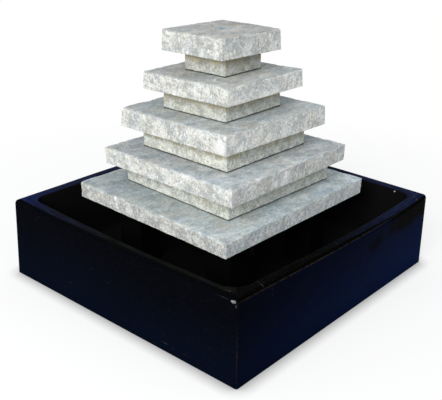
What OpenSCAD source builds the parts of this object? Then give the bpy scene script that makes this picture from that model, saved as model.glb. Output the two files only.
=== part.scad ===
// Stone garden fountain: a stepped pyramid of rock-faced slabs on thinner spacer stones,
// carried by four pillars in a square cast terrazzo basin. A small submersible pump
// between the pillars lifts the water through a pipe in the middle of the stack.
// Millimetres, +Z up, origin on the ground under the middle of the basin.

/* [Basin] */
// Outside length of each side of the basin
basin_side = 600; // [560:10:800]
// Height of the rim above the ground
basin_height = 160; // [140:5:240]
// Thickness of the wall
basin_wall = 22; // [18:1:32]
// Thickness of the floor
basin_floor = 24; // [16:1:40]
// Radius of the upright outside edges
basin_edge_r = 10; // [9:1:30]
// Radius of the upright inside corners
basin_corner_r = 42; // [24:1:80]
// Radius of the cove where the walls meet the floor
basin_cove_r = 16; // [6:1:22]
// Radius of the rim's rounded edges, outside and inside
rim_round = 7; // [3:1:8]

/* [Slabs] */
// Side of the lowest slab
base_slab_side = 409; // [380:1:500]
// Side of the fourth slab, counted from the top
fourth_slab_side = 342; // [310:1:420]
// Side of the third slab
third_slab_side = 282; // [250:1:360]
// Side of the second slab
second_slab_side = 216; // [180:1:300]
// Side of the slab at the top
top_slab_side = 158; // [130:1:220]
// Thickness of the lowest slab
base_slab_t = 32; // [20:1:60]
// Thickness of the fourth slab
fourth_slab_t = 33; // [20:1:60]
// Thickness of the third slab
third_slab_t = 38; // [20:1:60]
// Thickness of the second slab
second_slab_t = 34; // [20:1:60]
// Thickness of the slab at the top
top_slab_t = 40; // [20:1:60]
// How rough the split edges are, from hollow to crest
slab_relief = 7; // [2:0.5:12]

/* [Spacers] */
// How far each slab stands out beyond the spacer under it
overhang = 27; // [15:1:40]
// Height of the spacer on the lowest slab
base_spacer_t = 42; // [20:1:60]
// Height of the spacer on the fourth slab
third_spacer_t = 43; // [20:1:60]
// Height of the spacer on the third slab
second_spacer_t = 40; // [20:1:60]
// Height of the spacer on the second slab
top_spacer_t = 38; // [20:1:60]
// How rough the spacers' faces are, from hollow to crest
spacer_relief = 3; // [1:0.5:6]

/* [Supports] */
// Side of each of the four pillars under the lowest slab
pillar_side = 62; // [40:1:90]
// Distance from the middle of the basin to the middle of a pillar, along X and along Y
pillar_offset = 122; // [100:1:140]
// Height of the lowest slab's underside above the rim
stack_above_rim = 6; // [0:1:40]
// Bevel on the upright edges of a pillar
pillar_bevel = 5; // [1:1:12]

/* [Water pipe] */
// Outside diameter of the riser pipe
riser_od = 20; // [18:1:25]
// Wall thickness of the riser pipe
riser_wall = 2; // [1.5:0.5:3]
// Gap between the riser and the holes in the stones
riser_gap = 2; // [1:0.5:4]
// How far the outlet's flange rests on the stone round the riser's hole
outlet_land = 2.5; // [1.5:0.5:5]
// Thickness of the outlet's flange
outlet_flange_t = 3; // [2:0.5:5]
// Diameter of the outlet's hole
outlet_bore_d = 11; // [6:0.5:12]
// How far the outlet reaches down into the riser
outlet_plug_l = 22; // [10:1:40]

/* [Pump] */
// Width of the pump
pump_w = 46; // [44:1:60]
// Height of the pump without its foot
pump_h = 48; // [46:1:60]
// Length of the motor housing
motor_l = 47; // [47:1:60]
// Radius of the impeller's chamber
chamber_r = 16; // [15.5:0.5:18]
// Depth of the impeller's chamber
chamber_l = 9; // [8.5:0.5:12]
// Radius of the impeller
impeller_r = 14; // [12:0.5:15]
// Number of blades on the impeller
blades = 6; // [5:1:8]
// Radius of the rotor magnet
magnet_r = 8; // [7:0.5:9]
// Diameter of the ceramic shaft
shaft_d = 3; // [2.5:0.5:4]
// Outside diameter of the pump's outlet spigot
spigot_od = 13; // [12:0.5:14]
// Length of the outlet spigot
spigot_l = 22; // [18:1:30]
// Depth of the intake cover in front of the pump head
intake_l = 22; // [20:1:30]
// Number of slots in the intake cover, left and right of the knob
intake_slots = 3; // [2:1:4]
// Width of a slot
slot_w = 2; // [1.5:0.25:2]
// Height of the suction cups
cup_h = 8; // [6:1:12]

/* [Hidden] */
$fn = 96;
eps = 0.01;

terrazzo = [0.03, 0.035, 0.055];
split_stone = [0.78, 0.78, 0.74];
spacer_stone = [0.66, 0.68, 0.60];
pvc = [0.62, 0.70, 0.75];
dark_plastic = [0.10, 0.11, 0.12];
grey_plastic = [0.32, 0.35, 0.38];
rubber = [0.06, 0.06, 0.06];
steel = [0.72, 0.73, 0.75];
ceramic = [0.93, 0.92, 0.88];
ferrite = [0.20, 0.19, 0.20];

// Heights in the stack, from the lowest slab up
stack_z = basin_height + stack_above_rim;
base_spacer_z = stack_z + base_slab_t;
fourth_slab_z = base_spacer_z + base_spacer_t;
third_spacer_z = fourth_slab_z + fourth_slab_t;
third_slab_z = third_spacer_z + third_spacer_t;
second_spacer_z = third_slab_z + third_slab_t;
second_slab_z = second_spacer_z + second_spacer_t;
top_spacer_z = second_slab_z + second_slab_t;
top_slab_z = top_spacer_z + top_spacer_t;
stack_top = top_slab_z + top_slab_t;

// How each stone was laid by hand: [shift in X, shift in Y, turn in degrees]
base_slab_lay = [2, -4, -1.6];
base_spacer_lay = [4, 9, -2.4];
fourth_slab_lay = [4, 2, -0.7];
third_spacer_lay = [0, 2, -0.9];
third_slab_lay = [0, 2, -1.8];
second_spacer_lay = [0, -3, 0.4];
second_slab_lay = [4, -4, -0.2];
top_spacer_lay = [-3, 4, 0.4];
top_slab_lay = [-2, -2, -2.4];

// Rock face
face_step = 12;          // length of a facet along an edge
face_levels = [0, 0.24, 0.55, 0.8, 1];
face_inset = [0.62, 0.18, 0.06, 0.22, 0.70];   // how far each level lies back, as a share of the relief
corner_break = 5;        // how far the upright corners are knocked off

// Water pipe
stone_bore_r = riser_od / 2 + riser_gap;
outlet_flange_d = 2 * (stone_bore_r + outlet_land);
flange_gap = 0.3;        // gap round the outlet's flange in its countersink

// Pump, from the middle of the joint between motor and head. Its own Z runs to the intake.
foot_t = 3;
foot_w = pump_w + 18;
foot_l = motor_l - 1;
ear_in = 4;              // from the foot's edge to the middle of a suction cup, along X
cup_r = 9;
cup_neck_r = 2.1;
pump_fit = 0.1;          // gap between pieces that fit in one another
press_gap = 0.03;        // gap between round pieces that are pressed together
running_gap = 0.08;      // gap between the shaft and what turns on it
head_wall = 3;
head_l = chamber_l + head_wall;
spigot_wall = 2.3;
spigot_bore_r = spigot_od / 2 - spigot_wall;
spigot_x = chamber_r - spigot_bore_r;          // the spigot leaves the chamber at a tangent
spigot_z = chamber_l / 2;
pump_x = spigot_x;
pump_y = spigot_z;
pump_z = basin_floor + cup_h + foot_t + pump_h / 2;
spigot_collar_t = 2;
spigot_top = pump_z + pump_h / 2 + spigot_l;
rear_wall = 3;
bush_r = 4;
bush_l = 5;
front_bush_l = 3;
front_bush_r = 3.5;
hub_r = 5.5;
hub_l = 2;               // how far the head's hub stands out for the dial to turn on
eye_r = 11.5;
eye_r_in = 7;
window_angle = 60;
windows = 3;
web_l = 1.5;             // plate of the impeller
well_r = magnet_r + 0.7;
well_l = motor_l - rear_wall - bush_l - 2;
magnet_l = well_l - 1.5;
rotor_back = 1;          // gap between the joint and the back of the impeller
seal_r = chamber_r + 3;
seal_d = 2;
shell_t = 2;
dial_gap = 0.3;
dial_r = eye_r + 1.5;
dial_t = 2;
dial_cap_l = 1.6;
stem_r = 3;
knob_r = 8;
knob_t = 4;
knob_grip = 3;

// Pipe sleeve between spigot and riser
sleeve_wall = 3;
spigot_grip = spigot_l - spigot_collar_t;
riser_grip = 20;
sleeve_step = 3;         // solid ring that the riser stands on
sleeve_z = spigot_top - spigot_grip;
riser_z = spigot_top + sleeve_step;
riser_top = stack_top - outlet_flange_t;
riser_ir = riser_od / 2 - riser_wall;
clamp_w = 9;
clamp_t = 0.8;

// Plan of a square with round corners
module round_square(side, r) {
    square([side, side - 2 * r], center = true);
    square([side - 2 * r, side], center = true);
    for (sx = [-1, 1], sy = [-1, 1])
        translate([sx, sy] * (side / 2 - r)) circle(r);
}

// Block with upright corners of radius corner_r, whose top edge is rolled over with radius roll_r
module rolled_block(side, height, corner_r, roll_r) {
    straight = side - 2 * corner_r;
    linear_extrude(height - roll_r) round_square(side, corner_r);
    linear_extrude(height) round_square(side - 2 * roll_r, corner_r - roll_r);
    for (a = [0:90:270]) rotate(a) {
        translate([side / 2 - roll_r, straight / 2, height - roll_r])
            rotate([90, 0, 0]) cylinder(r = roll_r, h = straight);
        translate([side / 2 - corner_r, side / 2 - corner_r, height - roll_r])
            rotate_extrude(angle = 90) translate([corner_r - roll_r, 0]) intersection() {
                circle(roll_r);
                square(roll_r);
            }
    }
}

// What is cut away to round the upper edge of a square hole: the hole's side and corner radius
module rim_cutter(side, corner_r, roll_r) {
    straight = side - 2 * corner_r;
    module section() {
        difference() {
            square(roll_r);
            translate([roll_r, 0]) circle(roll_r);
        }
    }
    for (a = [0:90:270]) rotate(a) {
        translate([side / 2, straight / 2, -roll_r])
            rotate([90, 0, 0]) linear_extrude(straight) section();
        translate([side / 2 - corner_r, side / 2 - corner_r, -roll_r])
            rotate_extrude(angle = 90) translate([corner_r, 0]) section();
    }
}

module basin() {
    inner_side = basin_side - 2 * basin_wall;
    over = 1;
    color(terrazzo) difference() {
        rolled_block(basin_side, basin_height, basin_edge_r, rim_round);
        translate([0, 0, basin_height + over]) mirror([0, 0, 1])
            rolled_block(inner_side, basin_height + over - basin_floor, basin_corner_r, basin_cove_r);
        translate([0, 0, basin_height + eps]) rim_cutter(inner_side, basin_corner_r, rim_round);
    }
}

module pillar(sx, sy) {
    half = pillar_side / 2;
    cut = half - pillar_bevel;
    color(terrazzo) translate([sx * pillar_offset, sy * pillar_offset, basin_floor])
        linear_extrude(stack_z - basin_floor) polygon([
            [half, -cut], [half, cut], [cut, half], [-cut, half],
            [-half, cut], [-half, -cut], [-cut, -half], [cut, -half]]);
}

// Smooth step from a to b
function ease(a, b, t) = a + (b - a) * t * t * (3 - 2 * t);

// Value between 0 and 1 at place u round a closed ring of random values
function ring_value(values, u) =
    let (n = len(values), x = u * n, i = floor(x))
    ease(values[i % n], values[(i + 1) % n], x - i);

// Point k of a level round the stone: corner points are knocked back, the others lie on the side
function face_point(side, count, k, inset, z) =
    let (s = floor(k / count), t = (k % count) / count, half = side / 2,
         back = inset + (t == 0 ? corner_break / 2 : 0),
         along = t == 0 ? -half + back : -half + side * t,
         x = half - back, a = 90 * s)
    [x * cos(a) - along * sin(a), x * sin(a) + along * cos(a), z];

// Sawn above and below, split by hammer round the edge
module rock_faced(side, thick, relief, seed) {
    count = max(4, round(side / face_step));
    ring = 4 * count;
    levels = len(face_levels);
    swell = rands(0, 1, round(ring / 4), seed);
    chips = [for (l = [0:levels - 1]) rands(0, 1, ring, seed + 17 + l)];
    drift = rands(-0.07, 0.07, ring * levels, seed + 40);
    points = [for (l = [0:levels - 1], k = [0:ring - 1])
        let (broad = ring_value(swell, k / ring),
             inset = relief * (0.35 * broad + 0.30 * chips[l][k] + 0.35 * face_inset[l]),
             jog = l == 0 || l == levels - 1 ? 0 : drift[l * ring + k])
        face_point(side, count, k, inset, thick * (face_levels[l] + jog))];
    sides = [for (l = [0:levels - 2], k = [0:ring - 1])
        let (a = l * ring + k, b = l * ring + (k + 1) % ring, c = b + ring, d = a + ring)
        each (k + l) % 2 == 0 ? [[a, d, c], [a, c, b]] : [[a, d, b], [d, c, b]]];
    under = [for (k = [0:ring - 1]) k];
    over = [for (k = [ring - 1:-1:0]) (levels - 1) * ring + k];
    polyhedron(points, concat([under, over], sides), convexity = 4);
}

// A stone of the stack, laid as lay says, with the riser's hole on the axis of the stack
module stack_stone(side, thick, z, relief, seed, lay) {
    translate([0, 0, z]) difference() {
        translate([lay[0], lay[1], 0]) rotate(lay[2]) rock_faced(side, thick, relief, seed);
        translate([0, 0, -1]) cylinder(r = stone_bore_r, h = thick + 2);
    }
}

module base_slab() {
    color(split_stone)
        stack_stone(base_slab_side, base_slab_t, stack_z, slab_relief, 11, base_slab_lay);
}

module base_spacer() {
    color(spacer_stone)
        stack_stone(fourth_slab_side - 2 * overhang, base_spacer_t, base_spacer_z,
            spacer_relief, 12, base_spacer_lay);
}

module fourth_slab() {
    color(split_stone)
        stack_stone(fourth_slab_side, fourth_slab_t, fourth_slab_z, slab_relief, 13, fourth_slab_lay);
}

module third_spacer() {
    color(spacer_stone)
        stack_stone(third_slab_side - 2 * overhang, third_spacer_t, third_spacer_z,
            spacer_relief, 14, third_spacer_lay);
}

module third_slab() {
    color(split_stone)
        stack_stone(third_slab_side, third_slab_t, third_slab_z, slab_relief, 15, third_slab_lay);
}

module second_spacer() {
    color(spacer_stone)
        stack_stone(second_slab_side - 2 * overhang, second_spacer_t, second_spacer_z,
            spacer_relief, 16, second_spacer_lay);
}

module second_slab() {
    color(split_stone)
        stack_stone(second_slab_side, second_slab_t, second_slab_z, slab_relief, 17, second_slab_lay);
}

module top_spacer() {
    color(spacer_stone)
        stack_stone(top_slab_side - 2 * overhang, top_spacer_t, top_spacer_z,
            spacer_relief, 18, top_spacer_lay);
}

// The top slab is countersunk for the outlet's flange
module top_slab() {
    color(split_stone) difference() {
        stack_stone(top_slab_side, top_slab_t, top_slab_z, slab_relief, 19, top_slab_lay);
        translate([0, 0, stack_top - outlet_flange_t])
            cylinder(r = outlet_flange_d / 2 + flange_gap, h = outlet_flange_t + 1);
    }
}

module tube(r_out, r_in, h) {
    difference() {
        cylinder(r = r_out, h = h);
        translate([0, 0, -1]) cylinder(r = r_in, h = h + 2);
    }
}

module riser_pipe() {
    color(pvc) translate([0, 0, riser_z]) tube(riser_od / 2, riser_ir, riser_top - riser_z);
}

// Flanged outlet that closes the riser down to a jet
module outlet_nozzle() {
    lip = 1;
    color(pvc) translate([0, 0, riser_top]) difference() {
        union() {
            cylinder(d = outlet_flange_d, h = outlet_flange_t - lip);
            translate([0, 0, outlet_flange_t - lip])
                cylinder(d1 = outlet_flange_d, d2 = outlet_flange_d - 2 * lip, h = lip);
            translate([0, 0, -outlet_plug_l]) cylinder(r = riser_ir - pump_fit, h = outlet_plug_l + eps);
        }
        translate([0, 0, -outlet_plug_l - 1])
            cylinder(d = outlet_bore_d, h = outlet_plug_l + outlet_flange_t + 2);
    }
}

// Stepped rubber sleeve: the lower end grips the spigot, the upper end the riser
module pipe_sleeve() {
    low_r = spigot_od / 2;
    high_r = riser_od / 2;
    color(rubber) translate([0, 0, sleeve_z]) difference() {
        union() {
            cylinder(r = low_r + sleeve_wall, h = spigot_grip + eps);
            translate([0, 0, spigot_grip])
                cylinder(r = high_r + sleeve_wall, h = sleeve_step + riser_grip);
        }
        translate([0, 0, -1]) cylinder(r = low_r + pump_fit, h = spigot_grip + 1);
        cylinder(r = spigot_bore_r, h = spigot_grip + sleeve_step + 1);
        translate([0, 0, spigot_grip + sleeve_step]) cylinder(r = high_r + pump_fit, h = riser_grip + 1);
    }
}

// Band with a worm screw in its housing
module clamp(r) {
    screw_r = 2.6;
    screw_l = 13;
    box = [7, 10, clamp_w];
    tube(r + clamp_t, r + press_gap, clamp_w);
    translate([r + box[0] / 2, 0, clamp_w / 2]) difference() {
        cube(box, center = true);
        translate([-r - box[0] / 2, 0, -clamp_w]) cylinder(r = r + press_gap, h = 2 * clamp_w);
    }
    translate([r + box[0] - screw_r / 2, screw_l / 2, clamp_w / 2]) rotate([90, 0, 0])
        cylinder(r = screw_r, h = screw_l);
}

module hose_clamps() {
    low_r = spigot_od / 2 + sleeve_wall;
    high_r = riser_od / 2 + sleeve_wall;
    color(steel) {
        translate([0, 0, sleeve_z + (spigot_grip - clamp_w) / 2]) clamp(low_r);
        translate([0, 0, riser_z + (riser_grip - clamp_w) / 2]) clamp(high_r);
    }
}

// Places a pump piece: its X is to the right, its Y up, its Z towards the intake
module in_pump() {
    translate([pump_x, pump_y, pump_z]) rotate([90, 0, 0]) children();
}

module round_plate(w, h, r, l) {
    linear_extrude(l) {
        square([w, h - 2 * r], center = true);
        square([w - 2 * r, h], center = true);
        for (sx = [-1, 1], sy = [-1, 1])
            translate([sx * (w / 2 - r), sy * (h / 2 - r)]) circle(r);
    }
}

// Sealed motor with the rotor's well, cooling ribs and a foot with four ears
module pump_housing() {
    rib_t = 2;
    rib_out = 1.5;
    rib_count = 4;
    rib_step = (motor_l - 16) / (rib_count - 1);
    gland_r = 4;
    color(dark_plastic) {
        in_pump() difference() {
            union() {
                translate([0, 0, -motor_l + 4]) round_plate(pump_w, pump_h, 10, motor_l - 4);
                translate([0, 0, -motor_l]) round_plate(pump_w - 6, pump_h - 6, 8, 5);
                for (i = [0:rib_count - 1]) translate([0, 0, -12 - i * rib_step])
                    round_plate(pump_w + 2 * rib_out, pump_h, 10, rib_t);
                translate([-foot_w / 2, -pump_h / 2 - foot_t, -foot_l]) cube([foot_w, foot_t + 6, foot_l]);
            }
            translate([-foot_w / 2 - 1, -pump_h / 2, -foot_l - 1])
                cube([(foot_w - pump_w) / 2 - rib_out + 1, 7, foot_l + 2]);
            translate([pump_w / 2 + rib_out, -pump_h / 2, -foot_l - 1])
                cube([(foot_w - pump_w) / 2 - rib_out + 1, 7, foot_l + 2]);
            translate([0, 0, -well_l]) cylinder(r = well_r, h = well_l + 1);
            translate([0, 0, -well_l - bush_l]) cylinder(r = bush_r, h = bush_l + 1);
            translate([0, 0, -seal_d * 0.7]) tube(seal_r + seal_d / 2, seal_r - seal_d / 2, seal_d);
            translate([0, 0, -motor_l - 1]) translate([0, -pump_h / 4, 0]) cylinder(r = gland_r, h = 7);
            cup_places() rotate([90, 0, 0]) cylinder(r = cup_neck_r + pump_fit, h = 20, center = true);
        }
    }
}

// The four ears of the foot, in the pump's own axes
module cup_places() {
    for (sx = [-1, 1], z = [-7, -foot_l + 7])
        translate([sx * (foot_w / 2 - ear_in), -pump_h / 2 - foot_t / 2, z]) children();
}

module suction_cup() {
    color(rubber) rotate_extrude() polygon([
        [0, cup_h + foot_t + 2], [2.6, cup_h + foot_t + 2], [3.2, cup_h + foot_t],
        [cup_neck_r, cup_h + foot_t], [cup_neck_r, cup_h], [4, cup_h], [4, cup_h - 2.5],
        [6.2, cup_h - 4], [cup_r, 0.8], [cup_r, 0], [cup_r - 1.6, 0],
        [5.4, cup_h - 5.4], [0, cup_h - 4.6]]);
}

module suction_cups() {
    in_pump() cup_places() translate([0, -foot_t / 2 - cup_h, 0]) rotate([-90, 0, 0]) suction_cup();
}

// Tapered cable gland at the back of the motor. Its hole takes a 5 mm lead.
module cable_gland() {
    lead_r = 2.6;
    color(rubber) in_pump() translate([0, -pump_h / 4, -motor_l - 18]) difference() {
        union() {
            cylinder(r1 = 3.8, r2 = 5, h = 15);
            translate([0, 0, 15]) cylinder(r = 6.5, h = 3);
            translate([0, 0, 18]) cylinder(r = 4 - pump_fit, h = 5.5);
            for (z = [3, 7, 11]) translate([0, 0, z]) cylinder(r = 5.2, h = 1.6);
        }
        translate([0, 0, -1]) cylinder(r = lead_r, h = 20);
    }
}

// Sectors that let the water in, between r_in and r_out
module windows_cut(r_in, r_out, h) {
    for (i = [0:windows - 1]) rotate(i * 360 / windows) linear_extrude(h)
        intersection() {
            difference() {
                circle(r_out);
                circle(r_in);
            }
            polygon([[0, 0], 2 * r_out * [cos(-window_angle / 2), sin(-window_angle / 2)],
                     2 * r_out * [cos(window_angle / 2), sin(window_angle / 2)]]);
        }
}

// Pump head: impeller chamber, intake eye with the front bush's hub, and the barbed spigot
module pump_head() {
    barb_r = spigot_od / 2;
    barb_h = 0.4;
    barb_step = 5;
    barbs = 3;
    root_l = 4;          // the spigot starts this far inside the head
    color(grey_plastic) in_pump() difference() {
        union() {
            round_plate(pump_w, pump_h, 9, head_l);
            cylinder(r = hub_r, h = head_l + hub_l);
            translate([-spigot_x, pump_h / 2, spigot_z]) rotate([-90, 0, 0]) {
                translate([0, 0, -root_l]) cylinder(r = barb_r - barb_h, h = root_l + spigot_l);
                for (i = [1:barbs]) translate([0, 0, spigot_l - i * barb_step])
                    cylinder(r1 = barb_r, r2 = barb_r - barb_h, h = barb_step - 1);
                cylinder(r = barb_r + 1.5, h = spigot_collar_t);
            }
        }
        translate([-pump_w / 2, pump_h / 2 - root_l, -5]) cube([pump_w, root_l, 5]);
        translate([0, 0, -1]) cylinder(r = chamber_r, h = chamber_l + 1);
        translate([-spigot_x, 0, spigot_z]) rotate([-90, 0, 0])
            cylinder(r = spigot_bore_r, h = pump_h / 2 + spigot_l + 1);
        translate([0, 0, chamber_l - 1]) cylinder(r = front_bush_r + pump_fit, h = front_bush_l + 1);
        translate([0, 0, chamber_l - 1]) windows_cut(eye_r_in, eye_r, head_wall + 2);
    }
}

module seal_ring() {
    color(rubber) in_pump() translate([0, 0, -seal_d * 0.7 / 2])
        rotate_extrude() translate([seal_r, 0]) circle(seal_d * 0.7 / 2);
}

// Slotted cup in front of the pump head
module intake_cover() {
    w = pump_w - 2;
    h = pump_h - 2;
    first = knob_r + 2;
    pitch = (w / 2 - shell_t - first) / intake_slots;
    color(dark_plastic) in_pump() translate([0, 0, head_l]) difference() {
        union() {
            round_plate(w, h, 8, intake_l - 3);
            translate([0, 0, intake_l - 3]) round_plate(w - 4, h - 4, 7, 3);
        }
        translate([0, 0, -1])
            round_plate(w - 2 * shell_t, h - 2 * shell_t, 6, intake_l - shell_t - 2);
        translate([0, 0, -1])
            round_plate(w - 4 - 2 * shell_t, h - 4 - 2 * shell_t, 5, intake_l - shell_t + 1);
        cylinder(r = stem_r + pump_fit, h = intake_l + 1);
        for (side = [-1, 1], i = [0:intake_slots - 1])
            translate([side * (first + i * pitch) - slot_w / 2, -h / 2 + 9, intake_l - shell_t - 2])
                cube([slot_w, h - 18, shell_t + 4]);
        for (i = [-3:3]) translate([-w, i * 4.5 - slot_w / 2, 5]) cube([2 * w, slot_w, intake_l - 12]);
    }
}

// Ring on the head's hub that opens or shuts the intake's windows, with the stem for the knob
module flow_dial() {
    boss_l = hub_l - dial_gap + dial_cap_l;
    color(grey_plastic) in_pump() translate([0, 0, head_l + dial_gap]) difference() {
        union() {
            cylinder(r = dial_r, h = dial_t);
            cylinder(r = hub_r + 1.5, h = boss_l);
            cylinder(r = stem_r, h = intake_l - dial_gap + 3);
        }
        translate([0, 0, -1]) cylinder(r = hub_r + pump_fit, h = hub_l - dial_gap + 1 + dial_gap);
        translate([0, 0, -1]) windows_cut(eye_r_in, eye_r, dial_t + 2);
    }
}

module dial_knob() {
    color(grey_plastic) in_pump() translate([0, 0, head_l + intake_l + dial_gap]) difference() {
        union() {
            cylinder(r1 = knob_r, r2 = knob_r - 1, h = knob_t);
            translate([-knob_r + 1, -1.5, 0]) cube([2 * knob_r - 2, 3, knob_t + knob_grip]);
        }
        translate([0, 0, -1]) cylinder(r = stem_r + press_gap, h = 1 + 3 - dial_gap);
    }
}

module rotor_shaft() {
    color(ceramic) in_pump() translate([0, 0, -well_l - bush_l + 0.5])
        cylinder(d = shaft_d, h = well_l + bush_l - 0.5 + chamber_l + front_bush_l - 1.5);
}

module rear_bush() {
    color(rubber) in_pump() translate([0, 0, -well_l - bush_l])
        difference() {
            cylinder(r = bush_r, h = bush_l);
            translate([0, 0, 0.5]) cylinder(r = shaft_d / 2 + press_gap, h = bush_l);
        }
}

module front_bush() {
    color(rubber) in_pump() translate([0, 0, chamber_l - 1])
        difference() {
            cylinder(r = front_bush_r, h = front_bush_l + 0.9);
            translate([0, 0, -1]) cylinder(r = shaft_d / 2 + press_gap, h = front_bush_l + 0.5);
        }
}

module rotor_magnet() {
    color(ferrite) in_pump() translate([0, 0, rotor_back - magnet_l])
        tube(magnet_r, shaft_d / 2 + running_gap, magnet_l);
}

// Straight blades on a round plate, behind which the magnet is pressed on
module impeller() {
    hub = shaft_d / 2 + 2.2;
    tip = chamber_l - 2 * rotor_back - web_l;
    color(grey_plastic) in_pump() translate([0, 0, rotor_back]) difference() {
        union() {
            cylinder(r = impeller_r, h = web_l);
            cylinder(r = hub, h = web_l + tip - 1);
            for (i = [0:blades - 1]) rotate(i * 360 / blades)
                translate([hub - 1, -0.7, 0]) cube([impeller_r - hub + 0.8, 1.4, web_l + tip]);
        }
        translate([0, 0, -1]) cylinder(r = shaft_d / 2 + running_gap, h = web_l + tip + 2);
    }
}

basin();
pillar(-1, -1);  // pillar_front_left
pillar(1, -1);  // pillar_front_right
pillar(-1, 1);  // pillar_back_left
pillar(1, 1);  // pillar_back_right
base_slab();
base_spacer();
fourth_slab();
third_spacer();
third_slab();
second_spacer();
second_slab();
top_spacer();
top_slab();
riser_pipe();
outlet_nozzle();
pipe_sleeve();
hose_clamps();
pump_housing();
cable_gland();
suction_cups();
pump_head();
seal_ring();
intake_cover();
flow_dial();
dial_knob();
rotor_shaft();
rear_bush();
front_bush();
rotor_magnet();
impeller();
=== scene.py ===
import math

import bpy
import numpy as np
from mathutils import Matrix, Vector


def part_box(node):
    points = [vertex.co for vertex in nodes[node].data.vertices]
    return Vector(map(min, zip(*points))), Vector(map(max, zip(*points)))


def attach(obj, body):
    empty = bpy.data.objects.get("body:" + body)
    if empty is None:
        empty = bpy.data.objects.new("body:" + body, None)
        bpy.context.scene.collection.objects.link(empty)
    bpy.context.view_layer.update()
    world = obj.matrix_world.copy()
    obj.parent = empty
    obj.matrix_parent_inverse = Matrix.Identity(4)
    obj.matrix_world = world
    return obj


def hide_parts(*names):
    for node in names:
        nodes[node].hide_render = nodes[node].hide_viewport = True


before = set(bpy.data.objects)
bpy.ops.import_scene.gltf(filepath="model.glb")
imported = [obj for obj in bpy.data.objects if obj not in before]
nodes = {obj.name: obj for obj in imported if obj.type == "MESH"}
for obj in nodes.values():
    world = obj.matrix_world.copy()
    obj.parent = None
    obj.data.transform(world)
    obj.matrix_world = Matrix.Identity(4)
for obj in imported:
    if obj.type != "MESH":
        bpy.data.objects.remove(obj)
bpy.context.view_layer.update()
print("frame loaded:", len(nodes), "nodes")


def addObject(name, data):
    item = bpy.data.objects.new(name, data)
    bpy.context.scene.collection.objects.link(item)
    return item


# camera, as the photo was taken

camera = {
    "target": (0.0, 0.0, 0.2),
    "azimuth": 42.11,   # degrees, 0 looks along +Y
    "elevation": 21.05,
    "distance": 1.5106,
    "lens": 60.08,   # mm
    "sensor": 36,
    "shiftX": -0.00475,
    "shiftY": -0.0482,
    "clipEnd": 60,
}


def addCamera():
    azimuth = math.radians(camera["azimuth"])
    elevation = math.radians(camera["elevation"])
    back = Vector((math.sin(azimuth) * math.cos(elevation),
                   -math.cos(azimuth) * math.cos(elevation),
                   math.sin(elevation)))
    data = bpy.data.cameras.new("camera")
    data.sensor_width = camera["sensor"]
    data.lens = camera["lens"]
    data.shift_x = camera["shiftX"]
    data.shift_y = camera["shiftY"]
    data.clip_end = camera["clipEnd"]
    item = addObject("camera", data)
    item.location = Vector(camera["target"]) + back * camera["distance"]
    item.rotation_euler = (-back).to_track_quat("-Z", "Y").to_euler()
    bpy.context.scene.camera = item


addCamera()


# repeatable noise over points in space, for the shapes

hashFactors = np.array([374761393, 668265263, 2246822519, 3266489917], dtype=np.uint32)


def latticeValue(cell, seed):  # from 0 to 1, the same for the same cell and seed
    first, second, third, fourth = hashFactors
    x, y, z = cell.astype(np.uint32).T
    mixed = x * first + y * second + z * third + np.uint32(seed * int(fourth) % 2 ** 32)
    mixed = (mixed ^ (mixed >> np.uint32(15))) * third
    mixed = (mixed ^ (mixed >> np.uint32(13))) * fourth
    return (mixed ^ (mixed >> np.uint32(16))).astype(float) / (2 ** 32 - 1)


def softNoise(points, size, seed):  # from -1 to 1, hills about size apart
    place = points / size
    cell = np.floor(place).astype(np.int64)
    part = place - cell
    part = part * part * (3 - 2 * part)
    total = np.zeros(len(points))
    for step in np.ndindex(2, 2, 2):
        weight = np.where(step, part, 1 - part).prod(axis=1)
        total += weight * latticeValue(cell + step, seed)
    return 2 * total - 1


def roughNoise(points, size, seed, octaves):
    total = np.zeros(len(points))
    for octave in range(octaves):
        total += softNoise(points, size / 2 ** octave, seed + 31 * octave) / 2 ** octave
    return total / (2 - 2 ** (1 - octaves))


def facetNoise(points, size, seed):  # from about -1 to 1, each chip a flat that leans its own way
    place = points / size
    cell = np.floor(place).astype(np.int64)
    nearest = np.full(len(points), 9.0)
    height = np.zeros(len(points))
    for step in np.ndindex(3, 3, 3):
        chip = cell + step - 1
        heart = np.stack([latticeValue(chip, seed + k) for k in range(3)], axis=1)
        lean = np.stack([latticeValue(chip, seed + 5 + k) for k in range(3)], axis=1) - 0.5
        offset = place - chip - heart
        distance = (offset ** 2).sum(axis=1)
        flat = 1.7 * (offset * lean).sum(axis=1) + latticeValue(chip, seed + 9) - 0.5
        height = np.where(distance < nearest, flat, height)
        nearest = np.minimum(distance, nearest)
    return height


# rings of points round a square with round corners, joined into closed shells

def squareRing(sideSteps, cornerSteps):  # each point's place on the unit square and its outward direction
    place = []
    outward = []
    for quarter in range(4):
        turn = quarter * math.pi / 2
        c, s = math.cos(turn), math.sin(turn)
        for step in range(sideSteps + 1):
            along = -1 + 2 * step / sideSteps
            place.append((c - along * s, s + along * c))
            outward.append((c, s))
        for step in range(1, cornerSteps):
            angle = turn + math.pi / 2 * step / cornerSteps
            place.append((c - s, s + c))
            outward.append((math.cos(angle), math.sin(angle)))
    return np.array(place), np.array(outward)


def planAt(ring, half, corner):
    place, outward = ring
    half = np.broadcast_to(half, len(place))[:, None]
    corner = np.broadcast_to(corner, len(place))[:, None]
    return (half - corner) * place + corner * outward


def atCorners(ring, values):  # values of the corners right, back, left and front, blended along the sides
    x, y = ring[0].T
    weights = np.stack([(1 + x) * (1 + y), (1 - x) * (1 + y), (1 - x) * (1 - y), (1 + x) * (1 - y)]) / 4
    return weights.T @ np.array(values)


def quarterTurn(steps):  # share, sine and cosine at each step of an arc
    for step in range(steps + 1):
        angle = math.pi / 2 * step / steps
        yield step / steps, math.sin(angle), math.cos(angle)


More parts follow.
